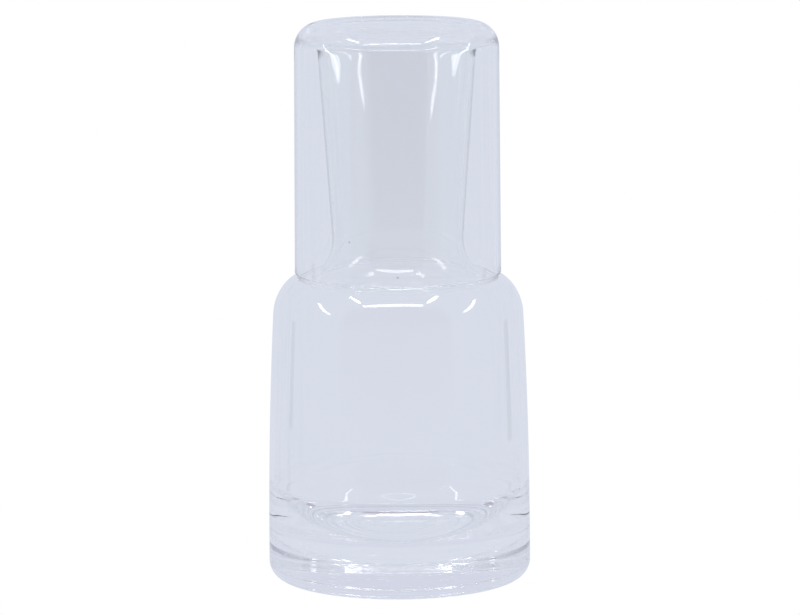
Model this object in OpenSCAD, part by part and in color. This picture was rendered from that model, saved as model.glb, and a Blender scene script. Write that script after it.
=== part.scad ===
// Bedside carafe with its tumbler: two round glasses on one upright axis.
// The tumbler stands upside down over the neck and rests with its rim on the carafe's shoulder.
// The origin is the middle of the ring that the carafe stands on, and +Z is up. Sizes are in millimetres.

/* [Carafe body] */
// Outer radius of the body just above the heel
body_r = 45; // [42:0.5:60]
// How much narrower the side is where the shoulder starts
side_taper = 2.1; // [0:0.1:4]
// How late the side narrows: 1 is an even taper, more keeps the lower side upright
side_power = 2.1; // [1:0.1:4]
// Height at which the side ends and the shoulder starts
side_h = 91; // [70:1:140]
// Height of the rounded shoulder
shoulder_h = 14.8; // [8:0.2:24]
// How full the shoulder is: 2 is an ellipse, less is flatter
shoulder_power = 1.92; // [1.6:0.02:2.8]
// Radius of the round heel under the side
heel_r = 6; // [2:0.5:8]
// Thickness of the wall of the body and the shoulder
body_wall = 1.6; // [1.2:0.1:4]

/* [Carafe base] */
// Thickness of the base at its middle, over the hollow underneath
base_t = 8.7; // [5:0.1:16]
// Width of the curve that joins the inside floor to the wall
floor_curve_w = 18.6; // [8:0.2:24]
// Height of that curve
floor_curve_h = 24; // [10:0.5:30]
// How full that curve is: 2 is an ellipse, less is flatter
floor_power = 1.76; // [1.6:0.02:2.4]
// Width of the flat ring that the carafe stands on
foot_w = 5; // [2:0.5:10]
// Depth of the shallow hollow under the base
hollow_h = 1.3; // [0.3:0.1:3]

/* [Carafe neck] */
// Outer radius of the throat, the narrowest place of the neck
throat_r = 22.4; // [19:0.2:25]
// Width of the hollow curve from the top of the shoulder to the throat
root_w = 8.8; // [5:0.2:10]
// Height of that curve
root_h = 12.2; // [6:0.2:18]
// Height from the throat to the top of the lip
neck_h = 66.5; // [40:0.5:100]
// How much wider the neck is at the lip than at the throat
neck_flare = 4.7; // [1:0.1:8]
// Thickness of the wall of the neck
neck_wall = 1.5; // [1.2:0.1:3]

/* [Tumbler] */
// Thickness of the tumbler's wall
tumbler_wall = 1.8; // [1.2:0.1:3]
// Thickness of the tumbler's base at its middle
tumbler_base_t = 3.5; // [2.5:0.1:8]
// Outer radius of the round corner between the tumbler's wall and its base
corner_r = 8.6; // [4:0.1:12]
// Width of the curve that joins the tumbler's wall to its base inside
inner_corner_w = 5.5; // [2:0.1:8]
// Height of that curve
inner_corner_h = 4.6; // [2:0.1:8]
// How much wider the tumbler is at its rim than at its base
tumbler_taper = 0.45; // [0:0.05:1.5]
// Width of the flat ring that the tumbler stands on when it is turned over to drink from
tumbler_foot_w = 3; // [1:0.5:6]
// Depth of the shallow hollow inside that ring
tumbler_hollow_h = 0.5; // [0.2:0.1:1.5]

/* [Fit of the tumbler over the neck] */
// Room between the neck's lip and the tumbler's wall
neck_room = 5.95; // [3:0.05:8]
// Room between the neck's lip and the tumbler's base
head_room = 3.1; // [0.5:0.1:6]
// Clearance between the tumbler's rim and the shoulder
seat_clearance = 0.2; // [0.1:0.05:0.5]

/* [Hidden] */
$fn = 96;
// Steps in a round stretch of an outline
steps = 20;
glass_tint = [0.80, 0.86, 0.92, 0.45];
tumbler_tint = [0.72, 0.80, 0.88, 0.45];

// Where the shoulder ends, and the heights of the crest, the throat and the lip
shoulder_r = body_r - side_taper;
crest_r = throat_r + root_w;
crest_z = side_h + shoulder_h;
throat_z = crest_z + root_h;
neck_top = throat_z + neck_h;
neck_lip_r = neck_wall / 2;

// The neck's straight side leaves the root's curve where both have the same slope
neck_slope = neck_flare / neck_h;
root_turn = atan(neck_slope * root_h / root_w);

// The tumbler's radii, measured from the neck that it goes over
neck_outer_top_r = throat_r + neck_flare;
tumbler_inner_r = neck_outer_top_r + neck_room;
tumbler_r = tumbler_inner_r + tumbler_wall;
rim_r = tumbler_r + tumbler_taper;
rim_lip_r = tumbler_wall / 2;

// The rim's round lip rides on the slope of the shoulder: seat_z is the lowest point of the rim
seat_share = (rim_r - rim_lip_r - crest_r) / (shoulder_r - crest_r);
seat_slope = shoulder_h / (shoulder_r - crest_r) * pow(seat_share, shoulder_power - 1)
    * pow(1 - pow(seat_share, shoulder_power), 1 / shoulder_power - 1);
shoulder_at_rim = side_h + shoulder_h * pow(1 - pow(seat_share, shoulder_power), 1 / shoulder_power);
lip_lift = rim_lip_r * (sqrt(1 + seat_slope * seat_slope) - 1);
seat_z = shoulder_at_rim + lip_lift + seat_clearance * sqrt(1 + seat_slope * seat_slope);

tumbler_floor_z = neck_top + head_room;
tumbler_top = tumbler_floor_z + tumbler_base_t + tumbler_hollow_h;
tumbler_face_r = tumbler_r - corner_r;

// Points of an arc about (x, z) with the half widths w and h, from one angle to another
function arc(x, z, w, h, from, to) =
    [for (i = [0 : steps]) let (t = from + (to - from) * i / steps) [x + w * cos(t), z + h * sin(t)]];

// Points of a fuller or flatter quarter curve, from its widest point to its top,
// or to its lowest point where the height is negative
function quarter(x, z, w, h, power) =
    [for (i = [0 : steps]) let (t = 90 * i / steps) [x + w * pow(cos(t), 2 / power), z + h * pow(sin(t), 2 / power)]];

// Radius of the side at a height above the heel
function side_at(z) = body_r - side_taper * pow((z - heel_r) / (side_h - heel_r), side_power);

// Points of the side between two heights, moved inwards by the wall
function side(from, to, inward) =
    [for (i = [0 : steps]) let (z = from + (to - from) * i / steps) [side_at(z) - inward, z]];

function reversed(points) = [for (i = [len(points) - 1 : -1 : 0]) points[i]];

// A shallow hollow under a base: a parabola that is deepest at the axis
function hollow(radius, depth) =
    [for (i = [0 : steps]) let (share = i / steps) [radius * share, depth * (1 - share * share)]];

// Radius of the neck's outside at a height above the root's curve
function neck_at(z) = throat_r + neck_slope * (z - throat_z);

// Outline of the carafe's outside, from the middle of the base to the outside of the lip
carafe_outside = concat(
    hollow(body_r - heel_r - foot_w, hollow_h),
    arc(body_r - heel_r, heel_r, heel_r, heel_r, -90, 0),
    side(heel_r, side_h, 0),
    quarter(crest_r, side_h, shoulder_r - crest_r, shoulder_h, shoulder_power),
    arc(crest_r, throat_z, root_w, root_h, 270, 180 - root_turn));

// Outline of its inside, from the middle of the floor to the inside of the lip
floor_z = base_t + hollow_h;
floor_r = side_at(floor_z + floor_curve_h) - body_wall - floor_curve_w;
carafe_inside = concat(
    [[0, floor_z]],
    reversed(quarter(floor_r, floor_z + floor_curve_h, floor_curve_w, -floor_curve_h, floor_power)),
    side(floor_z + floor_curve_h, side_h, body_wall),
    quarter(crest_r, side_h, shoulder_r - crest_r - body_wall, shoulder_h - body_wall, shoulder_power),
    arc(crest_r, throat_z, root_w + neck_wall, root_h + body_wall, 270, 180 - root_turn));

// The lip is a full round over the neck's wall
lip_z = neck_top - neck_lip_r;
carafe_lip = arc(neck_at(lip_z) - neck_lip_r, lip_z, neck_lip_r, neck_lip_r, 0, 180);

module carafe() {
    color(glass_tint)
        rotate_extrude()
            polygon(concat(carafe_outside, carafe_lip, reversed(carafe_inside)));
}

// The tumbler's outline runs from the middle of its base, over the corner, down the wall,
// round the lip and back up the inside
tumbler_outline = concat(
    [for (p = hollow(tumbler_face_r - tumbler_foot_w, tumbler_hollow_h)) [p[0], tumbler_top - p[1]]],
    arc(tumbler_face_r, tumbler_top - corner_r, corner_r, corner_r, 90, 0),
    arc(rim_r - rim_lip_r, seat_z + rim_lip_r, rim_lip_r, rim_lip_r, 0, -180),
    arc(tumbler_inner_r - inner_corner_w, tumbler_floor_z - inner_corner_h, inner_corner_w, inner_corner_h, 0, 90),
    [[0, tumbler_floor_z]]);

module tumbler() {
    color(tumbler_tint)
        rotate_extrude()
            polygon(tumbler_outline);
}

carafe();
tumbler();
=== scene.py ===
# %% [markdown]
# # A bedside carafe under its tumbler
#
# Two clear glasses stand on one upright axis: a carafe with a thick base, and a tumbler that is turned
# over its neck. Clear glass has no colour of its own to paint. What the eye reads is the shape of the
# glass, inside and out, and the room that the glass bends and mirrors. So this lesson spends its effort
# on three things: exact outlines for both faces of the wall, the small waves that hot glass keeps, and
# the white light tent around the set.
#
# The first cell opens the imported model. Its bodies are the pieces that move, and its box is the size to
# keep to.

# %% Open the frame
import math
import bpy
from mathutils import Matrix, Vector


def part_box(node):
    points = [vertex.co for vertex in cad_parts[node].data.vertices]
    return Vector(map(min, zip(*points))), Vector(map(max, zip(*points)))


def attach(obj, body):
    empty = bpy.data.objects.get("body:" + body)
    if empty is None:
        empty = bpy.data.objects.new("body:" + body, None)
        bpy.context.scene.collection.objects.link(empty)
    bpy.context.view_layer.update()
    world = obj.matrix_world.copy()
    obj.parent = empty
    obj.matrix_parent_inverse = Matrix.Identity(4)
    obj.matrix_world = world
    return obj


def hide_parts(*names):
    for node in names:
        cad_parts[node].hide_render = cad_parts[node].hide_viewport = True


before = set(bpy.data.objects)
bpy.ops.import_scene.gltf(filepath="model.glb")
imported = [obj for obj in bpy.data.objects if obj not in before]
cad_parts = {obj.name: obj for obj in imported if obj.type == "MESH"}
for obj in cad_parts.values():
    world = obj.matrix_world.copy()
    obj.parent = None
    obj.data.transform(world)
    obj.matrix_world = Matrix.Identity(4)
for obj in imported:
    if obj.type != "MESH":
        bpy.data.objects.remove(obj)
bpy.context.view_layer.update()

from types import SimpleNamespace

import bpy
from mathutils import Matrix, Vector

MM = 0.001

# %% [markdown]
# ## Sums made of sockets
#
# Both a Geometry Nodes tree and a material are graphs of small boxes joined by wires. A formula such as
# `radius - taper * share ** power` would take a dozen lines of node calls. Python lets a class say what
# `-`, `*` and `**` mean, so one small class that holds a socket turns the formula into Math nodes by
# itself. The reflected forms, such as `__rsub__`, are what make `1 - mask` work, where the plain number
# comes first.
#
# Everything that is not plain arithmetic comes from one method, `node`. It takes the node's type, its
# settings, and what goes into its sockets.

# %% A socket that can be used in a formula
class Wire:
    """One output socket of a tree. Arithmetic on it adds Math nodes to that tree."""

    def __init__(self, board, socket):
        self.board = board
        self.socket = socket

    def math(self, operation, *values):
        return self.board.node("ShaderNodeMath", {"operation": operation}, dict(enumerate(values)))

    def __add__(self, other):
        return self.math("ADD", self, other)

    def __sub__(self, other):
        return self.math("SUBTRACT", self, other)

    def __rsub__(self, other):
        return self.math("SUBTRACT", other, self)

    def __mul__(self, other):
        return self.math("MULTIPLY", self, other)

    def __truediv__(self, other):
        return self.math("DIVIDE", self, other)

    def __rtruediv__(self, other):
        return self.math("DIVIDE", other, self)

    def __pow__(self, other):
        return self.math("POWER", self, other)

    def __neg__(self):
        return self.math("MULTIPLY", self, -1)

    def __gt__(self, other):
        return self.math("GREATER_THAN", self, other)

    def __lt__(self, other):
        return self.math("LESS_THAN", self, other)

    __radd__ = __add__
    __rmul__ = __mul__


class Board:
    """A node tree to lay nodes out on."""

    def __init__(self, tree):
        self.tree = tree

    def node(self, kind, settings=None, sockets=None, output=0):
        made = self.tree.nodes.new(kind)
        for name, value in (settings or {}).items():
            setattr(made, name, value)
        for name, value in (sockets or {}).items():
            self.feed(made.inputs[name], value)
        return Wire(self, made.outputs[output])

    def feed(self, socket, value):
        if isinstance(value, Wire):
            self.tree.links.new(value.socket, socket)
        else:
            socket.default_value = value


print("socket sums are ready")

# %% [markdown]
# ## Small words for common sums
#
# A few sums come back all through the lesson, so each gets a short name here. `clamp` holds a value
# between zero and one, and `pick` is how a tree says "if": it takes one value or the other by a mask of
# zero or one.

# %% Small words
def clamp(value):
    """A wire held between zero and one."""
    return value.board.node("ShaderNodeClamp", None, {"Value": value, "Min": 0.0, "Max": 1.0})


def pick(mask, outside, inside):
    """The second value where the mask is one, the first where it is zero."""
    return mask.board.node("ShaderNodeMix", None, {"Factor": mask, "A": outside, "B": inside})


def cosine(angle):
    return angle.math("COSINE", angle)


def sine(angle):
    return angle.math("SINE", angle)


def signed_power(value, power):
    """A power that keeps the sign. A Math node alone has no broken power of a negative number."""
    return value.math("SIGN", value) * value.math("ABSOLUTE", value) ** power


print("small words: clamp, pick, cosine, sine, signed_power")

# %% [markdown]
# ## The lathe's stretches
#
# Both glasses are round, so each is one outline turned about the axis. The Spin tool or the Screw
# modifier could turn a drawn outline, but a Geometry Nodes tree can draw it too, from the sizes that a
# glassmaker would write down. So the tree's inputs are those sizes, and changing one of them gives
# another glass.
#
# Each stretch of the glass, such as a wall, a lip or a rounded heel, owns a run of the outline's points
# and says where they go: a radius and a height for each share of the run, from 0 to 1. Four kinds of
# stretch are enough.
#
# A stretch also says how wavy its face is, and how deep its rings are. The outside is shaped by a
# polished mould and has next to no waves. Air shapes the inside, which is never quite true. Where the
# glass was turned as it set, in the base and in the corners, it keeps faint rings.

# %% Stretches of an outline
DEGREE = math.pi / 180
ELLIPSE = 2.0


def stretch(steps, place, wave=0.0, rings=0.0):
    """A run of the outline: how many steps, where its points go, how deep its waves and its rings are."""
    return SimpleNamespace(steps=steps, place=place, wave=wave, rings=rings)


def straight(start, end):
    """From one (radius, height) to another."""
    def place(share):
        return start[0] + (end[0] - start[0]) * share, start[1] + (end[1] - start[1]) * share
    return place


def curve(centre, half, start, end, power=ELLIPSE):
    """Round about a centre, between two angles in degrees. Less power is flatter and more is fuller."""
    def place(share):
        angle = (start + (end - start) * share) * DEGREE
        across, up = cosine(angle), sine(angle)
        if power != ELLIPSE:
            across, up = signed_power(across, ELLIPSE / power), signed_power(up, ELLIPSE / power)
        return centre[0] + across * half[0], centre[1] + up * half[1]
    return place


def dish(radius, rim, middle, outwards=False):
    """A shallow parabola: rim is its height at the edge of a hollow, middle its height on the axis."""
    def place(share):
        out = share if outwards else 1 - share
        return out * radius, middle + out * out * (rim - middle)
    return place


def swell(start, end):
    """A soft step: level at both ends, steep between them."""
    def place(share):
        rise = 0.5 - cosine(share * math.pi) * 0.5
        return start[0] + (end[0] - start[0]) * share, start[1] + (end[1] - start[1]) * rise
    return place


print("stretches: straight, curve, dish, swell")

# %% [markdown]
# ## One outline from its stretches
#
# The outline starts as a straight curve with many points. Each stretch in turn takes over the points from
# its first one on, so after the last stretch every point has its own place. The line keeps the glass on
# its right, up the carafe's inside and down its outside, because Curve to Mesh then leaves every face
# looking out of the glass. Curve to Mesh also hands the waves, the rings and the distance along the
# outline on to the mesh, as attributes.

# %% Draw the outline
# The outline rides on a circle of this radius, and is moved in by as much, so its own radii come out true
SPINDLE = 20 * MM
HALF_STEP = 0.5


def outline(board, stretches):
    """One curve through all the stretches, which carries their waves and rings along."""
    total = sum(run.steps for run in stretches)
    line = board.node("GeometryNodeCurvePrimitiveLine")
    line = board.node("GeometryNodeResampleCurve", None, {"Curve": line, "Count": total + 1})
    index = board.node("GeometryNodeInputIndex")
    first = 0
    radius = height = wave = rings = 0.0
    for run in stretches:
        share = clamp((index - first) / run.steps)
        mine = index > first - HALF_STEP
        here_radius, here_height = run.place(share)
        radius = pick(mine, radius, here_radius)
        height = pick(mine, height, here_height)
        wave = pick(mine, wave, run.wave)
        rings = pick(mine, rings, run.rings)
        first += run.steps
    # Curve to Mesh hangs a profile with its x outwards and its y downwards, so the height changes sign
    place = board.node("ShaderNodeCombineXYZ", None, {"X": radius - SPINDLE, "Y": -height})
    line = board.node("GeometryNodeSetPosition", None, {"Geometry": line, "Position": place})
    along = board.node("GeometryNodeSplineParameter", output="Length")
    for name, value in (("wave", wave), ("rings", rings), ("along", along)):
        line = board.node("GeometryNodeStoreNamedAttribute", {"data_type": "FLOAT"}, {
            "Geometry": line, "Name": name, "Value": value})
    return line


print("the outline rides on a circle of mm:", round(SPINDLE / MM))

# %% [markdown]
# ## Waves and rings
#
# The waves are long and soft, and the thick base has the deepest. They are far too small to see as a
# shape, yet they bend every highlight. A Displace modifier has one strength for the whole mesh, unless
# its weights are painted. Here a 4D noise moves each point along its own normal, by the depth that its
# stretch asked for. The fourth number is a fixed seed, so the waves are the same on every run. Up the
# wall they are drawn out long, as the glass was when it was blown down. They only ever go into the glass,
# so the set never grows past its true size.
#
# The rings are a second noise, which is read by the distance along the outline and hardly changes round
# the axis.

# %% How far each point moves in
DRAWN_SHARE = 0.5
RING_CHANGES_OVER = 60 * MM


def ring_place(board, place, along, width):
    """Where a pattern of rings is read: it changes fast along the outline and hardly round the axis."""
    slow = 1 / RING_CHANGES_OVER
    across = board.node("ShaderNodeVectorMath", {"operation": "MULTIPLY"}, {0: place, 1: (slow, slow, 0)})
    up = board.node("ShaderNodeCombineXYZ", None, {"Z": along / width})
    return board.node("ShaderNodeVectorMath", {"operation": "ADD"}, {0: across, 1: up})


def waved_inwards(board, given):
    """How far each point moves into the glass for its waves and its rings."""
    place = board.node("GeometryNodeInputPosition")
    drawn = board.node("ShaderNodeVectorMath", {"operation": "MULTIPLY"}, {0: place, 1: (1, 1, DRAWN_SHARE)})
    waves = board.node("ShaderNodeTexNoise", {"noise_dimensions": "4D"}, {
        "Vector": drawn, "W": given["seed"], "Scale": 1 / given["wave_length"],
        "Detail": 1.0, "Roughness": 0.35})
    wave, ring, along = (board.node("GeometryNodeInputNamedAttribute", {"data_type": "FLOAT"}, {"Name": key})
                         for key in ("wave", "rings", "along"))
    rings = board.node("ShaderNodeTexNoise", {"noise_dimensions": "4D"}, {
        "Vector": ring_place(board, place, along, given["ring_width"]), "W": given["seed"],
        "Scale": 1.0, "Detail": 1.0, "Roughness": 0.5})
    normal = board.node("GeometryNodeInputNormal")
    return board.node("ShaderNodeVectorMath", {"operation": "SCALE"}, {
        0: normal, "Scale": -(waves * wave + rings * ring)})


print("rings change round the axis over mm:", round(RING_CHANGES_OVER / MM))

# %% [markdown]
# ## Turn the outline into a mesh
#
# The poles are the one weak spot of a turned mesh: all the points of a ring fall on the axis there. Merge
# by Distance makes them one point. The tree ends in Realize Instances, which makes any instance a real
# mesh, and in Set Material, which gives the mesh its finish.
#
# Modifier inputs are set by the identifier of their socket. The finished result is copied to a plain
# mesh, and the modifier goes, so what is handed on is only vertices, faces and their attributes.

# %% The lathe
SEGMENTS = 192
MERGE_WITHIN = 0.001 * MM


def lathe_tree(name, outline_of, size_names):
    """The tree that turns a glass, and the identifiers of its inputs by name."""
    tree = bpy.data.node_groups.new(name + " lathe", "GeometryNodeTree")
    tree.interface.new_socket("Mesh", in_out="OUTPUT", socket_type="NodeSocketGeometry")
    kinds = {key: "NodeSocketFloat" for key in (*size_names, "seed")}
    kinds["glass"] = "NodeSocketMaterial"
    identifiers = {}
    for key, kind in kinds.items():
        identifiers[key] = tree.interface.new_socket(key, in_out="INPUT", socket_type=kind).identifier
    board = Board(tree)
    inputs = tree.nodes.new("NodeGroupInput")
    given = {socket.name: Wire(board, socket) for socket in inputs.outputs if socket.name}

    profile = outline(board, outline_of(given))
    ring = board.node("GeometryNodeCurvePrimitiveCircle", None, {"Resolution": SEGMENTS, "Radius": SPINDLE})
    glass = board.node("GeometryNodeCurveToMesh", None, {"Curve": ring, "Profile Curve": profile})
    glass = board.node("GeometryNodeMergeByDistance", None, {"Geometry": glass, "Distance": MERGE_WITHIN})
    glass = board.node("GeometryNodeSetPosition", None, {
        "Geometry": glass, "Offset": waved_inwards(board, given)})
    glass = board.node("GeometryNodeSetShadeSmooth", None, {"Geometry": glass})
    glass = board.node("GeometryNodeRealizeInstances", None, {"Geometry": glass})
    glass = board.node("GeometryNodeSetMaterial", None, {"Geometry": glass, "Material": given["glass"]})
    board.feed(tree.nodes.new("NodeGroupOutput").inputs["Mesh"], glass)
    return tree, identifiers


def turned_glass(name, outline_of, sizes, seed, glass):
    """A glass turned from an outline. The sizes are in metres, and become the tree's named inputs."""
    tree, identifiers = lathe_tree(name, outline_of, sizes)
    piece = bpy.data.objects.new("clear_" + name, bpy.data.meshes.new(name + " start"))
    bpy.context.scene.collection.objects.link(piece)
    lathe = piece.modifiers.new("lathe", "NODES")
    lathe.node_group = tree
    for key, value in {**sizes, "seed": seed, "glass": glass}.items():
        lathe[identifiers[key]] = value
    evaluated = piece.evaluated_get(bpy.context.evaluated_depsgraph_get())
    piece.data = bpy.data.meshes.new_from_object(evaluated)
    piece.data.name = piece.name
    piece.modifiers.clear()
    return piece


print("segments round the axis:", SEGMENTS)

# %% [markdown]
# ## What a face of the glass can read
#
# The finish is a Principled material with full transmission: light enters, bends by the index of
# refraction and leaves. Its base colour tints the light that each face lets through, so it stays close to
# white, and every mark in the glass is a place where that colour is darker.
#
# A mark has to know where it is. Object coordinates give the height, and the length of their level part
# is the radius. The outline's attributes say how deep the rings are and how far along the outline a face
# lies. Layer Weight says how much a face is seen edge on, where the eye looks a long way through a wall.
# A few helpers turn such values into masks between zero and one.

# %% Places and masks
# The Mix node keeps its own sockets for each kind of value, and these are the ones for colours
MIX_MASK = 0
MIX_PLAIN = 6
MIX_TINT = 7
MIX_COLOUR = 2


def read_face(board):
    """What a material knows about each point of a glass."""
    place = board.node("ShaderNodeTexCoord", output="Object")
    level = board.node("ShaderNodeVectorMath", {"operation": "MULTIPLY"}, {0: place, 1: (1, 1, 0)})
    return SimpleNamespace(
        board=board,
        place=place,
        height=board.node("ShaderNodeSeparateXYZ", None, {"Vector": place}, output="Z"),
        radius=board.node("ShaderNodeVectorMath", {"operation": "LENGTH"}, {0: level}, output="Value"),
        rings=board.node("ShaderNodeAttribute", {"attribute_name": "rings"}, output="Fac"),
        along=board.node("ShaderNodeAttribute", {"attribute_name": "along"}, output="Fac"),
        edge_on=board.node("ShaderNodeLayerWeight", None, {"Blend": 0.5}, output="Facing"))


def ramp(value, low, high, to_low=0.0, to_high=1.0):
    """A value stretched from one range to another, and held inside it."""
    return value.board.node("ShaderNodeMapRange", None, {
        "Value": value, "From Min": low, "From Max": high, "To Min": to_low, "To Max": to_high})


def soft_ramp(value, low, high):
    """From zero to one between two values, level at both ends."""
    return value.board.node("ShaderNodeMapRange", {"interpolation_type": "SMOOTHSTEP"}, {
        "Value": value, "From Min": low, "From Max": high})


def line_at(value, place, width):
    """One inside a line about a place, zero a width away from it."""
    off = value.math("ABSOLUTE", value - place)
    return ramp(off, width / 2, width, 1.0, 0.0)


def tinted(mask, plain, tint):
    """The plain colour where the mask is zero, the tint where it is one."""
    return mask.board.node("ShaderNodeMix", {"data_type": "RGBA"}, {
        MIX_MASK: mask, MIX_PLAIN: plain, MIX_TINT: tint}, output=MIX_COLOUR)


print("masks: ramp, soft_ramp, line_at")

# %% [markdown]
# ## Cords, streaks and dust
#
# Glass that was turned while it set has cords: thin streaks of slightly denser glass. They run round the
# axis in the base and in the corners, where the rings are, and up the walls elsewhere, where they hardly
# show but edge on. Drawn lines would look too even, so both are noise in Object coordinates, cut down to
# thin lines. A few specks of dust are the cells of a Voronoi pattern, most of which stay empty.
#
# A value whose name ends in `EDGE` holds two edge-on shares. Two more numbers, where it has them, are the
# strengths of the mark at the first share and below it, and at the second share and above it.

# %% Marks from noise
# The cords' tint, which also paints the shade line on the step in the tumbler's hollow
CORD_AND_SHADE_LINE_TINT = (0.70, 0.72, 0.78, 1.0)
CORD_WIDTH = 1.1 * MM
CORD_CUT = (0.54, 0.70)
CORD_EDGE = (0.55, 0.9)
FULL_CORDS_AT = 0.03 * MM
CORDS_FULL_TO = 12 * MM
CORDS_END_AT = 22 * MM
CORDS_AGAIN_FROM = 184 * MM
STREAK_WIDTH = 2.2 * MM
STREAK_LENGTH = 90 * MM
STREAK_CUT = (0.52, 0.75)
STREAK_EDGE = (0.3, 0.9, 0.03, 0.6)
DUST_TINT = (0.25, 0.27, 0.30, 1.0)
DUST_APART = 16 * MM
DUST_SIZE = 0.018
DUST_OVER = 0.93


def cords(face):
    """Thin lines round the axis where there are rings: low, high, and between these only edge on."""
    noise = face.board.node("ShaderNodeTexNoise", None, {
        "Vector": ring_place(face.board, face.place, face.along, CORD_WIDTH),
        "Scale": 1.0, "Detail": 2.0, "Roughness": 0.6})
    low = ramp(face.height, CORDS_FULL_TO, CORDS_END_AT, 1.0, 0.0)
    shown = clamp(low + (face.height > CORDS_AGAIN_FROM) + ramp(face.edge_on, *CORD_EDGE))
    return ramp(noise, *CORD_CUT) * clamp(face.rings / FULL_CORDS_AT) * shown


def streaks(face):
    """Long thin lines up the walls."""
    thin, long = 1 / STREAK_WIDTH, 1 / STREAK_LENGTH
    drawn = face.board.node("ShaderNodeVectorMath", {"operation": "MULTIPLY"}, {
        0: face.place, 1: (thin, thin, long)})
    noise = face.board.node("ShaderNodeTexNoise", None, {
        "Vector": drawn, "Scale": 1.0, "Detail": 2.0, "Roughness": 0.5})
    return ramp(noise, *STREAK_CUT) * ramp(face.edge_on, *STREAK_EDGE)


def dust(face):
    """A small disc in the middle of a cell, in the few cells whose own random colour is bright enough."""
    cells = {"Vector": face.place, "Scale": 1 / DUST_APART}
    disc = face.board.node("ShaderNodeTexVoronoi", None, cells) < DUST_SIZE
    colour = face.board.node("ShaderNodeTexVoronoi", None, cells, output="Color")
    return disc * (face.board.node("ShaderNodeSeparateColor", None, {"Color": colour}) > DUST_OVER)


print("marks from noise: cords, streaks, dust")

# %% [markdown]
# ## Lines with a place of their own
#
# Three marks stay at one height or radius, so each is a line about that place, and each is painted shade.
# Dark lines are painted round the carafe's inner floor, as a stand-in for the dark lines that the thick
# base shows. One more is painted round the outside near the foot, and hardly shows but edge on. The tumbler
# has a like painted shade line on the step in its hollow. Below the outside line the round heel is a shade
# darker, because light takes a long way through the thick glass there.

# %% Painted shade lines and the darker heel
# Painted shade: the tint of the dark lines round the carafe's inner floor
FLOOR_SHADE_TINT = (0.20, 0.22, 0.32, 1.0)
# The height of each painted shade line on the floor in millimetres, and how strong it is
FLOOR_SHADE_LINES = ((10.6, 0.25), (11.7, 0.2), (13.2, 0.45), (14.6, 0.3), (16.5, 0.3), (19.0, 0.4), (22.0, 0.5),
                (25.5, 0.5), (29.0, 0.4))
FLOOR_SHADE_WIDTH = 0.35 * MM
FLOOR_SHADE_EDGE = (0.35, 0.7)
FLOOR_SHADE_TURNS_AT = 15.5 * MM
FLOOR_RINGS_OVER = 0.04 * MM
# Painted shade: a dark line round the outside near the foot, strongest edge on
OUTER_SHADE_TINT = (0.16, 0.16, 0.22, 1.0)
OUTER_SHADE_LINE_AT = 12.4 * MM
OUTER_SHADE_LINE_WIDTH = 1.1 * MM
OUTER_SHADE_LINE_OVER = 43.5 * MM
OUTER_SHADE_EDGE = (0.2, 0.75, 0.06, 0.9)
HEEL_TINT = (0.915, 0.90, 0.93, 1.0)
HEEL_OVER = 39.5 * MM
HEEL_FADE = 1.5 * MM
HEEL_EDGE = (0.1, 0.35, 1.0, 0.3)
# Painted shade: a dark line round the step in the tumbler's hollow, at this radius
STEP_SHADE_RADIUS = 23.9 * MM
STEP_SHADE_WIDTH = 0.35 * MM
STEP_SHADE_LOW = 189 * MM
STEP_SHADE_STRENGTH = 0.6


def carafe_shade_lines_and_heel(face, colour):
    """The painted shade lines on the floor, the darker heel and the painted shade line round the outside,
    laid over a colour.
    """
    floor = face.rings > FLOOR_RINGS_OVER
    shown = clamp((face.height < FLOOR_SHADE_TURNS_AT) + ramp(face.edge_on, *FLOOR_SHADE_EDGE))
    # Painted shade: each line round the floor darkens the colour
    for height, strength in FLOOR_SHADE_LINES:
        line = line_at(face.height, height * MM, FLOOR_SHADE_WIDTH) * floor * shown
        colour = tinted(line * strength, colour, FLOOR_SHADE_TINT)
    heel = (face.radius > HEEL_OVER) * ramp(face.height, OUTER_SHADE_LINE_AT - HEEL_FADE, OUTER_SHADE_LINE_AT, 1.0, 0.0)
    colour = tinted(heel * ramp(face.edge_on, *HEEL_EDGE), colour, HEEL_TINT)
    # Painted shade: the dark line round the outside near the foot
    outer_shade = line_at(face.height, OUTER_SHADE_LINE_AT, OUTER_SHADE_LINE_WIDTH) * (face.radius > OUTER_SHADE_LINE_OVER)
    return tinted(outer_shade * ramp(face.edge_on, *OUTER_SHADE_EDGE), colour, OUTER_SHADE_TINT)


def tumbler_shade_line(face, colour):
    """The painted shade line round the step in the hollow, laid over a colour."""
    # Painted shade: the dark line on the step in the hollow
    step_shade = line_at(face.radius, STEP_SHADE_RADIUS, STEP_SHADE_WIDTH) * (face.height > STEP_SHADE_LOW)
    return tinted(step_shade * STEP_SHADE_STRENGTH, colour, CORD_AND_SHADE_LINE_TINT)


# Counts the painted shade lines on the floor
print("gather lines:", len(FLOOR_SHADE_LINES))

# %% [markdown]
# ## Painted dark outlines
#
# The dark outlines are painted shade: where a wall is seen edge on, its colour is darkened, as a stand-in
# for the dark edge lines that the glass shows. So the neck has a thin painted dark outline inside the
# tumbler, and the tumbler has a fainter one. A mask keeps each outline to the outer face, so that it is
# drawn once and not for both faces of the wall. The neck's outline grows faint just under the lip.

# %% Where the outlines are
# Painted shade: the tints of the dark outlines
NECK_OUTLINE_SHADE_TINT = (0.04, 0.05, 0.06, 1.0)
NECK_LOW = 118 * MM
NECK_HIGH = 184 * MM
# The radius half way through the neck's wall, at those two heights
NECK_MIDDLE_LOW = 21.6 * MM
NECK_MIDDLE_HIGH = 26.3 * MM
NECK_FADE = 8 * MM
LIP_CLEAR = 3 * MM
LIP_STRENGTH = 0.25
TUMBLER_OUTLINE_SHADE_TINT = (0.40, 0.42, 0.46, 1.0)
TUMBLER_MIDDLE = 34 * MM


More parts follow.
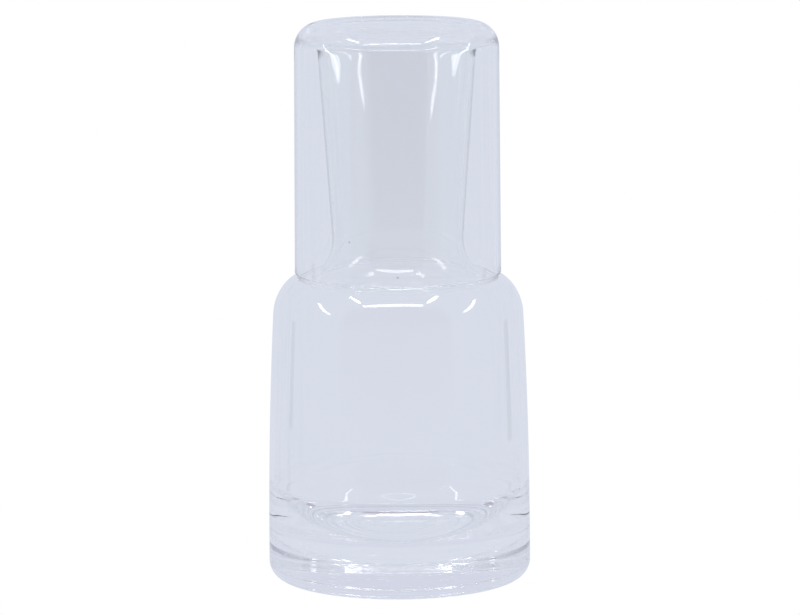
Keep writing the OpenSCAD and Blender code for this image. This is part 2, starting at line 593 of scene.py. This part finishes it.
def neck_outside(face):
    """One on the neck's outer face, where the painted dark outline goes, fading at both of its ends."""
    middle = ramp(face.height, NECK_LOW, NECK_HIGH, NECK_MIDDLE_LOW, NECK_MIDDLE_HIGH)
    outside = (face.radius > middle) * ramp(face.height, NECK_LOW - NECK_FADE, NECK_LOW)
    return outside * ramp(face.height, NECK_HIGH - NECK_FADE, NECK_HIGH - LIP_CLEAR, 1.0, LIP_STRENGTH)


def tumbler_outside(face):
    """One on the tumbler's outer face, where its fainter painted dark outline goes."""
    return face.radius > TUMBLER_MIDDLE


print("the neck's outline, from and to mm:", round(NECK_LOW / MM), round(NECK_HIGH / MM))

# %% [markdown]
# ## Mix the glass
#
# All the marks now go over one near-white tint, the finest first. Everything that is the same all over
# the surface is set on the shader itself, and only the base colour has a tree of nodes behind it.

# %% The glass material
TINT = (0.985, 0.989, 0.984, 1.0)
REFRACTION = 1.5
OUTLINE_EDGE = (0.72, 0.97)


def clear_glass(name, lines, outside, outline_shade_tint):
    """The finish of one glass. lines lays its marks and painted shade over a colour, outside masks its
    painted outline.
    """
    material = bpy.data.materials.new(name + " clear glass")
    material.use_nodes = True
    board = Board(material.node_tree)
    face = read_face(board)
    colour = tinted(clamp(cords(face) + streaks(face)), TINT, CORD_AND_SHADE_LINE_TINT)
    colour = tinted(dust(face), colour, DUST_TINT)
    colour = lines(face, colour)
    # Painted shade: a dark outline where the outer face is seen edge on
    colour = tinted(ramp(face.edge_on, *OUTLINE_EDGE) * outside(face), colour, outline_shade_tint)
    shader = material.node_tree.nodes["Principled BSDF"]
    shader.inputs["IOR"].default_value = REFRACTION
    shader.inputs["Transmission Weight"].default_value = 1.0
    shader.inputs["Roughness"].default_value = 0.0
    board.feed(shader.inputs["Base Color"], colour)
    return material


carafe_glass = clear_glass("carafe", carafe_shade_lines_and_heel, neck_outside, NECK_OUTLINE_SHADE_TINT)
tumbler_glass = clear_glass("tumbler", tumbler_shade_line, tumbler_outside, TUMBLER_OUTLINE_SHADE_TINT)
print("materials:", carafe_glass.name, "and", tumbler_glass.name)

# %% [markdown]
# ## The carafe's sizes
#
# The carafe's outside leaves its foot in a round heel, rises almost upright, turns in over a full
# shoulder, and sweeps up into a neck that widens a little towards the lip. The inside follows it at the
# thickness of the wall down to the base, where the glass gathers: the floor curve is much larger than the
# heel, so the base is a thick lens.
#
# The outer radius and the height come from the frame. The other sizes are the model's own.

# %% Sizes of the carafe
carafe_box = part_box("carafe")
carafe_sizes = {
    "body_radius": carafe_box[1].x, "neck_top": carafe_box[1].z,
    "side_taper": 2.1 * MM, "side_height": 91 * MM, "shoulder_height": 14.8 * MM, "heel_radius": 6 * MM,
    "body_wall": 1.6 * MM, "floor_height": 10 * MM, "floor_curve_width": 18.6 * MM,
    "floor_curve_height": 24 * MM, "foot_width": 5 * MM, "hollow_height": 1.3 * MM,
    "throat_radius": 22.4 * MM, "root_width": 8.8 * MM, "root_height": 12.2 * MM,
    "neck_flare": 4.7 * MM, "neck_wall": 1.5 * MM,
    "wave_length": 14 * MM, "wall_wave": 0.02 * MM, "floor_wave": 0.08 * MM, "foot_wave": 0.08 * MM,
    "ring_width": 3 * MM, "floor_rings": 0.05 * MM, "foot_rings": 0.012 * MM,
}
CARAFE_SEED = 3.0
SIDE_POWER = 2.1
SHOULDER_POWER = 1.92
FLOOR_POWER = 1.76
# How many steps each stretch of the outline gets
CARAFE_STEPS = SimpleNamespace(floor=30, floor_curve=90, side=24, shoulder=24, root=20, neck_inside=20,
                               neck_outside=10, lip=12, heel=24, foot=3, hollow=30)
# The lowest stretch of the side ends this many heel radii up, and has steps of its own
LOW_SIDE_HEELS = 5
print("carafe's outer radius, mm:", round(carafe_sizes["body_radius"] / MM, 2))
print("carafe's height, mm:", round(carafe_sizes["neck_top"] / MM, 2))

# %% [markdown]
# ## The carafe's outline
#
# Each corner between two stretches is worked out from the sizes, not typed. The neck's straight side, for
# one, has to leave the hollow curve under it where both have the same slope, and the arctangent gives
# that angle.

# %% Turn the carafe
def carafe_outline(given):
    """From the middle of the floor up the inside, over the lip, down the outside and under the foot."""
    s = SimpleNamespace(**given)
    steps = CARAFE_STEPS
    side_span = s.side_height - s.heel_radius
    shoulder_radius = s.body_radius - s.side_taper
    crest_radius = s.throat_radius + s.root_width
    throat_height = s.side_height + s.shoulder_height + s.root_height
    slope = s.neck_flare / (s.neck_top - throat_height)
    tangent = slope * s.root_height / s.root_width
    root_turn = tangent.math("ARCTANGENT", tangent) / DEGREE
    lip_radius = s.neck_wall * 0.5
    lip_height = s.neck_top - lip_radius
    lip_middle = s.throat_radius + slope * (lip_height - throat_height) - lip_radius
    lip_inside = lip_middle - lip_radius, lip_height
    lip_outside = lip_middle + lip_radius, lip_height
    heel_middle = s.body_radius - s.heel_radius

    def side_radius(height):
        climb = clamp((height - s.heel_radius) / side_span)
        return s.body_radius - s.side_taper * climb ** SIDE_POWER

    def side(start, end, inward):
        def place(share):
            height = start + (end - start) * share
            return side_radius(height) - inward, height
        return place

    def shoulder(inward, start, end):
        half = shoulder_radius - crest_radius - inward, s.shoulder_height - inward
        return curve((crest_radius, s.side_height), half, start, end, SHOULDER_POWER)

    def root(wall_across, wall_up, start, end):
        half = s.root_width + wall_across, s.root_height + wall_up
        return curve((crest_radius, throat_height), half, start, end)

    def root_top(wall_across, wall_up):
        angle = (180 - root_turn) * DEGREE
        return (crest_radius + cosine(angle) * (s.root_width + wall_across),
                throat_height + sine(angle) * (s.root_height + wall_up))

    curve_top = s.floor_height + s.floor_curve_height
    floor_radius = side_radius(curve_top) - s.body_wall - s.floor_curve_width
    floor_edge = floor_radius, s.floor_height
    floor_half = s.floor_curve_width, s.floor_curve_height
    foot_inside = heel_middle - s.foot_width
    low_side = s.heel_radius * LOW_SIDE_HEELS
    return [
        stretch(steps.floor, straight((0, s.floor_height), floor_edge), s.floor_wave, s.floor_rings),
        stretch(steps.floor_curve, curve((floor_radius, curve_top), floor_half, -90, 0, FLOOR_POWER),
                s.floor_wave, s.floor_rings),
        stretch(steps.side, side(curve_top, s.side_height, s.body_wall), s.wall_wave),
        stretch(steps.shoulder, shoulder(s.body_wall, 0, 90), s.wall_wave),
        stretch(steps.root, root(s.neck_wall, s.body_wall, 270, 180 - root_turn), s.wall_wave),
        stretch(steps.neck_inside, straight(root_top(s.neck_wall, s.body_wall), lip_inside), s.wall_wave),
        stretch(steps.lip, curve((lip_middle, lip_height), (lip_radius, lip_radius), 180, 0)),
        stretch(steps.neck_outside, straight(lip_outside, root_top(0, 0))),
        stretch(steps.root, root(0, 0, 180 - root_turn, 270)),
        stretch(steps.shoulder, shoulder(0, 90, 0)),
        stretch(steps.side, side(s.side_height, low_side, 0)),
        stretch(steps.side, side(low_side, s.heel_radius, 0)),
        stretch(steps.heel, curve((heel_middle, s.heel_radius), (s.heel_radius, s.heel_radius), 0, -90)),
        stretch(steps.foot, straight((heel_middle, 0), (foot_inside, 0))),
        stretch(steps.hollow, dish(foot_inside, 0, s.hollow_height), s.foot_wave, s.foot_rings),
    ]


carafe = turned_glass("carafe", carafe_outline, carafe_sizes, CARAFE_SEED, carafe_glass)
print("carafe faces:", len(carafe.data.polygons))

# %% [markdown]
# ## The tumbler
#
# The tumbler stands upside down, so its thick base is on top. It is a plain cup: a wall that is a touch
# wider at the rim, a fire-polished lip, and a base whose corner is rounded outside and in. The ring that
# it stands on when it is turned over drops into the hollow by a soft step, less than a millimetre deep,
# and from above that step is the line round the top. Its rim, its height and its width are read from the
# frame.
#
# Its outline starts in the middle of the hollow, goes down the outside and comes back up the inside,
# which again keeps the glass on the right.

# %% Turn the tumbler
tumbler_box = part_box("tumbler")
tumbler_sizes = {
    "rim_radius": tumbler_box[1].x, "rim_height": tumbler_box[0].z, "top": tumbler_box[1].z,
    "taper": 0.45 * MM, "wall": 1.8 * MM, "base_height": 4 * MM, "corner_radius": 8.6 * MM,
    "inner_corner_width": 5.5 * MM, "inner_corner_height": 4.6 * MM, "foot_width": 1.5 * MM,
    "step_width": 2.4 * MM, "step_depth": 0.9 * MM, "hollow_depth": 1.1 * MM,
    "wave_length": 16 * MM, "wall_wave": 0.02 * MM, "ceiling_wave": 0.04 * MM, "foot_wave": 0.05 * MM,
    "ring_width": 3 * MM, "foot_rings": 0.03 * MM, "corner_rings": 0.006 * MM, "ceiling_rings": 0.03 * MM,
}
TUMBLER_SEED = 8.0
TUMBLER_STEPS = SimpleNamespace(hollow=40, step=16, foot=3, corner=40, wall_outside=12, lip=12,
                                wall_inside=24, ceiling=40)


def tumbler_outline(given):
    """From the middle of the hollow down the outside, round the lip, up the inside and to the axis."""
    s = SimpleNamespace(**given)
    steps = TUMBLER_STEPS
    outer = s.rim_radius - s.taper
    inner = outer - s.wall
    lip = s.wall * 0.5
    lip_middle, lip_height = s.rim_radius - lip, s.rim_height + lip
    face = outer - s.corner_radius
    corner_low = s.top - s.corner_radius
    step_top = face - s.foot_width, s.top
    step_low = face - s.foot_width - s.step_width, s.top - s.step_depth
    ceiling = s.top - s.base_height
    inner_middle, inner_low = inner - s.inner_corner_width, ceiling - s.inner_corner_height
    inner_half = s.inner_corner_width, s.inner_corner_height
    return [
        stretch(steps.hollow, dish(step_low[0], step_low[1], s.top - s.hollow_depth, outwards=True),
                s.foot_wave, s.foot_rings),
        stretch(steps.step, swell(step_low, step_top)),
        stretch(steps.foot, straight(step_top, (face, s.top))),
        stretch(steps.corner, curve((face, corner_low), (s.corner_radius, s.corner_radius), 90, 0),
                rings=s.corner_rings),
        stretch(steps.wall_outside, straight((outer, corner_low), (s.rim_radius, lip_height))),
        stretch(steps.lip, curve((lip_middle, lip_height), (lip, lip), 0, -180)),
        stretch(steps.wall_inside, straight((lip_middle - lip, lip_height), (inner, inner_low)),
                s.wall_wave),
        stretch(steps.corner, curve((inner_middle, inner_low), inner_half, 0, 90),
                s.wall_wave, s.ceiling_rings),
        stretch(steps.ceiling, straight((inner_middle, ceiling), (0, ceiling)),
                s.ceiling_wave, s.ceiling_rings),
    ]


tumbler = turned_glass("tumbler", tumbler_outline, tumbler_sizes, TUMBLER_SEED, tumbler_glass)
print("tumbler faces:", len(tumbler.data.polygons))

# %% [markdown]
# ## Put the glasses in the frame
#
# Each glass takes the place of the plain solid of the same name and moves with its body.

# %% Ride on the bodies
for node, piece in (("carafe", carafe), ("tumbler", tumbler)):
    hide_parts(node)
    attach(piece, node)

# %% [markdown]
# ## The light tent
#
# A clear glass shows its surroundings, so its surroundings are the lighting. Such a set is photographed
# in a small white tent with LED strips under its roof, and a front that is open for the camera. The tent
# is bright and even, and that is why the glass looks light.
#
# The picture's background is pure white, brighter than the tent's cloth behind the glass. The world and
# the floor know which of the two to be by asking whether a ray comes straight from the camera. The
# Standard view transform keeps that white pure.

# %% Cloth and floor
scene = bpy.context.scene
scene.view_settings.view_transform = "Standard"
CLOTH = (0.705, 0.740, 0.840, 1.0)
WHITE = (1.0, 1.0, 1.0, 1.0)
FLOOR_GAP = 0.2 * MM
FLOOR_FRONT = -0.60
FLOOR_BACK = 1.5
FLOOR_HALF = 1.2
# Mix Shader's three sockets
BY_MASK = 0
IF_ZERO = 1
IF_ONE = 2


def tent_shader(tree, output_kind, surface_kind):
    """White to the camera, tent cloth to every other ray."""
    tree.nodes.clear()
    board = Board(tree)
    seen = board.node("ShaderNodeLightPath", output="Is Camera Ray")
    cloth = board.node(surface_kind, None, {"Color": CLOTH, "Strength": 1.0})
    white = board.node(surface_kind, None, {"Color": WHITE, "Strength": 1.0})
    both = board.node("ShaderNodeMixShader", None, {BY_MASK: seen, IF_ZERO: cloth, IF_ONE: white})
    board.feed(tree.nodes.new(output_kind).inputs["Surface"], both)


def sheet_of(name, corners, material):
    """One flat face that is part of the stage, not of the set."""
    mesh = bpy.data.meshes.new(name)
    mesh.from_pydata(corners, [], [tuple(range(len(corners)))])
    mesh.materials.append(material)
    piece = bpy.data.objects.new(name, mesh)
    scene.collection.objects.link(piece)
    return piece


world = bpy.data.worlds.new("tent cloth")
world.use_nodes = True
scene.world = world
tent_shader(world.node_tree, "ShaderNodeOutputWorld", "ShaderNodeBackground")
floor_material = bpy.data.materials.new("white floor")
floor_material.use_nodes = True
tent_shader(floor_material.node_tree, "ShaderNodeOutputMaterial", "ShaderNodeEmission")
sheet_of("floor", [(-FLOOR_HALF, FLOOR_FRONT, -FLOOR_GAP), (FLOOR_HALF, FLOOR_FRONT, -FLOOR_GAP),
                   (FLOOR_HALF, FLOOR_BACK, -FLOOR_GAP), (-FLOOR_HALF, FLOOR_BACK, -FLOOR_GAP)],
         floor_material)
print("tent cloth:", CLOTH[:3])

# %% [markdown]
# ## The open front
#
# The open front is dimmer than the cloth, and mirrors as a soft grey band down the middle of each glass.
# It grows darker with height, because the table in front of the tent is lit and the room above it is not.
# It could be a hole in a modelled tent, but one glowing card with soft edges gives the same mirror image
# with less to build.
#
# The card is there for the mirror images only. Glossy Depth counts how often a ray was mirrored, and the
# card has the colour of the cloth for a ray that never was, so from behind it doesn't show through the
# glass.

# %% A card for the open front
FRONT_Y = -0.236
FRONT_LEFT = -0.325
FRONT_RIGHT = 0.275
FRONT_LOW = 0.015
FRONT_HIGH = 0.40
FRONT_TURNS = 0.16
FRONT_FADE = 0.05
FRONT_LOW_COLOUR = (0.60, 0.62, 0.70, 1.0)
FRONT_HIGH_COLOUR = (0.43, 0.38, 0.48, 1.0)
MIRRORED_OVER = 0.5


def glowing(name):
    """An empty material and its board, to end in a glow."""
    material = bpy.data.materials.new(name)
    material.use_nodes = True
    material.node_tree.nodes.clear()
    return material, Board(material.node_tree)


def end_in(board, colour):
    """Let the colour glow."""
    glow = board.node("ShaderNodeEmission", None, {"Color": colour, "Strength": 1.0})
    board.feed(board.tree.nodes.new("ShaderNodeOutputMaterial").inputs["Surface"], glow)


front_material, front_board = glowing("dimmer room in front")
front_place = front_board.node("ShaderNodeTexCoord", output="Object")
front_across = front_board.node("ShaderNodeSeparateXYZ", None, {"Vector": front_place}, output="X")
front_height = front_board.node("ShaderNodeSeparateXYZ", None, {"Vector": front_place}, output="Z")
inside = (soft_ramp(front_across, FRONT_LEFT, FRONT_LEFT + FRONT_FADE)
          * soft_ramp(-front_across, -FRONT_RIGHT, -FRONT_RIGHT + FRONT_FADE)
          * soft_ramp(front_height, FRONT_LOW, FRONT_LOW + FRONT_FADE)
          * soft_ramp(-front_height, -FRONT_HIGH, -FRONT_HIGH + FRONT_FADE))
mirrored = front_board.node("ShaderNodeLightPath", output="Glossy Depth") > MIRRORED_OVER
front_colour = tinted(soft_ramp(front_height, FRONT_LOW, FRONT_TURNS), FRONT_LOW_COLOUR, FRONT_HIGH_COLOUR)
end_in(front_board, tinted(inside * mirrored, CLOTH, front_colour))
front = sheet_of("open_front", [(FRONT_LEFT, FRONT_Y, FRONT_LOW), (FRONT_RIGHT, FRONT_Y, FRONT_LOW),
                                (FRONT_RIGHT, FRONT_Y, FRONT_HIGH), (FRONT_LEFT, FRONT_Y, FRONT_HIGH)],
                 front_material)
front.visible_camera = False
print("open front, wide in m:", round(FRONT_RIGHT - FRONT_LEFT, 3))
print("open front, high in m:", round(FRONT_HIGH - FRONT_LOW, 3))

# %% [markdown]
# ## Two poles
#
# Two dark grey poles of the tent stand to the left and right of the set, and show as faint upright
# streaks near the sides of the body. They are flat cards that face the set, and neither the camera nor a
# ray through the glass sees them, so they too are only mirrored.

# %% Stand up the poles
POLE_WIDTH = 0.018
POLE_LOW = 0.030
POLE_HIGH = 0.085
POLE_COLOUR = (0.02, 0.02, 0.025, 1.0)
POLE_PLACES = {"left": (-0.20, 0.041), "right": (0.16, 0.037)}
pole_material, pole_board = glowing("grey tent pole")
end_in(pole_board, POLE_COLOUR)
for side_name, (x, y) in POLE_PLACES.items():
    across = Vector((-y, x, 0)).normalized() * POLE_WIDTH / 2
    foot, head = Vector((x, y, POLE_LOW)), Vector((x, y, POLE_HIGH))
    corners = [foot - across, foot + across, head + across, head - across]
    pole = sheet_of(side_name + " pole", corners, pole_material)
    pole.visible_camera = False
    pole.visible_transmission = False
    print(side_name, "pole, from the axis in m:", round(Vector((x, y)).length, 3))

# %% [markdown]
# ## LED strips
#
# Each strip is an area light, hidden from the camera but not from the glass, where it mirrors as a thin
# bright line on the shoulder and on the tumbler's corner. It is given by its two ends, its width and how
# bright its face is. Three hang under the roof. On each side a bar climbs towards the back, and its foot
# is what mirrors as the short slanted glints on the tumbler and on the shoulder.

# %% Hang the strips
ROOF = 0.40
FRONT_ROOF = 0.445
SET_MIDDLE = Vector((0, 0, 0.15))
# An area light's face glows as brightly as its energy divided by four times its area
FACE_ENERGY = 4
# Width of a strip and brightness of its face
FRONT_STRIP = (0.024, 8)
ROOF_STRIP = (0.014, 15)
BAR_FOOT = (0.008, 4)
BAR = (0.010, 5)
# Where each bar leaves its foot
LEFT_BEND = (-0.1754, -0.0605, 0.173)
RIGHT_BEND = (0.1584, -0.0577, 0.179)
STRIPS = (
    ("front strip", (-0.210, FRONT_Y, FRONT_ROOF), (0.143, FRONT_Y, FRONT_ROOF), FRONT_STRIP),
    ("left strip", (-0.168, -0.130, ROOF), (-0.168, -0.030, ROOF), ROOF_STRIP),
    ("right strip", (0.132, -0.150, ROOF), (0.132, -0.036, ROOF), ROOF_STRIP),
    ("left bar foot", (-0.167, -0.086, 0.162), LEFT_BEND, BAR_FOOT),
    ("left side bar", LEFT_BEND, (-0.300, 0.010, 0.300), BAR),
    ("right bar foot", (0.1477, -0.0847, 0.166), RIGHT_BEND, BAR_FOOT),
    ("right side bar", RIGHT_BEND, (0.240, 0.010, 0.290), BAR),
)


def strip(name, start, end, width, brightness):
    """An area light from one end to the other, turned about its length to face the middle of the set."""
    start, end = Vector(start), Vector(end)
    along = (end - start).normalized()
    middle = (start + end) / 2
    back = middle - SET_MIDDLE
    back = (back - back.dot(along) * along).normalized()
    side = back.cross(along)
    light = bpy.data.lights.new(name, "AREA")
    light.shape = "RECTANGLE"
    light.size = (end - start).length
    light.size_y = width
    light.energy = brightness * FACE_ENERGY * light.size * light.size_y
    light.color = WHITE[:3]
    lamp = bpy.data.objects.new(name, light)
    lamp.matrix_world = Matrix.Translation(middle) @ Matrix((along, side, back)).transposed().to_4x4()
    lamp.visible_camera = False
    scene.collection.objects.link(lamp)


for name, start, end, (width, brightness) in STRIPS:
    strip(name, start, end, width, brightness)

# %% [markdown]
# ## The camera
#
# The camera looks a little down from the front through a long lens. Its place comes from a fit of the
# set's known outline to the photograph, so the numbers below are the real distance and height in metres.
# The angles are in degrees. Three values are in pixels of the picture: its width, where the set's axis
# lies in it, and the length of the lens. The sensor's width is in millimetres, as Blender's own is.

# %% Place the camera
CAMERA_DISTANCE = 1.46525
CAMERA_HEIGHT = 0.3158
LOOKS_DOWN = 8.627
TILTS = -0.36
IMAGE_WIDTH = 800
AXIS_AT = 398.2
FOCAL_PIXELS = 4324.16
SENSOR_WIDTH = 36
NEAREST = 0.01
camera_data = bpy.data.cameras.new("camera")
camera_data.sensor_width = SENSOR_WIDTH
camera_data.lens = FOCAL_PIXELS / IMAGE_WIDTH * SENSOR_WIDTH
camera_data.clip_start = NEAREST
camera = bpy.data.objects.new("camera", camera_data)
aside = math.atan((AXIS_AT - IMAGE_WIDTH / 2) / FOCAL_PIXELS)
camera.matrix_world = (Matrix.Translation((0, -CAMERA_DISTANCE, CAMERA_HEIGHT))
                       @ Matrix.Rotation(aside, 4, "Z")
                       @ Matrix.Rotation(math.radians(90 - LOOKS_DOWN), 4, "X")
                       @ Matrix.Rotation(math.radians(TILTS), 4, "Z"))
scene.collection.objects.link(camera)
scene.camera = camera
print("lens, mm:", round(camera_data.lens, 1))

# %% [markdown]
# ## Enough bounces
#
# Light runs round inside a thick base many times before it leaves. Where Cycles stops following it, the
# glass goes black, so the limits are raised.

# %% Bounces
BOUNCES = 160
scene.cycles.max_bounces = BOUNCES
scene.cycles.transmission_bounces = BOUNCES
scene.cycles.glossy_bounces = BOUNCES
print("bounces:", BOUNCES)
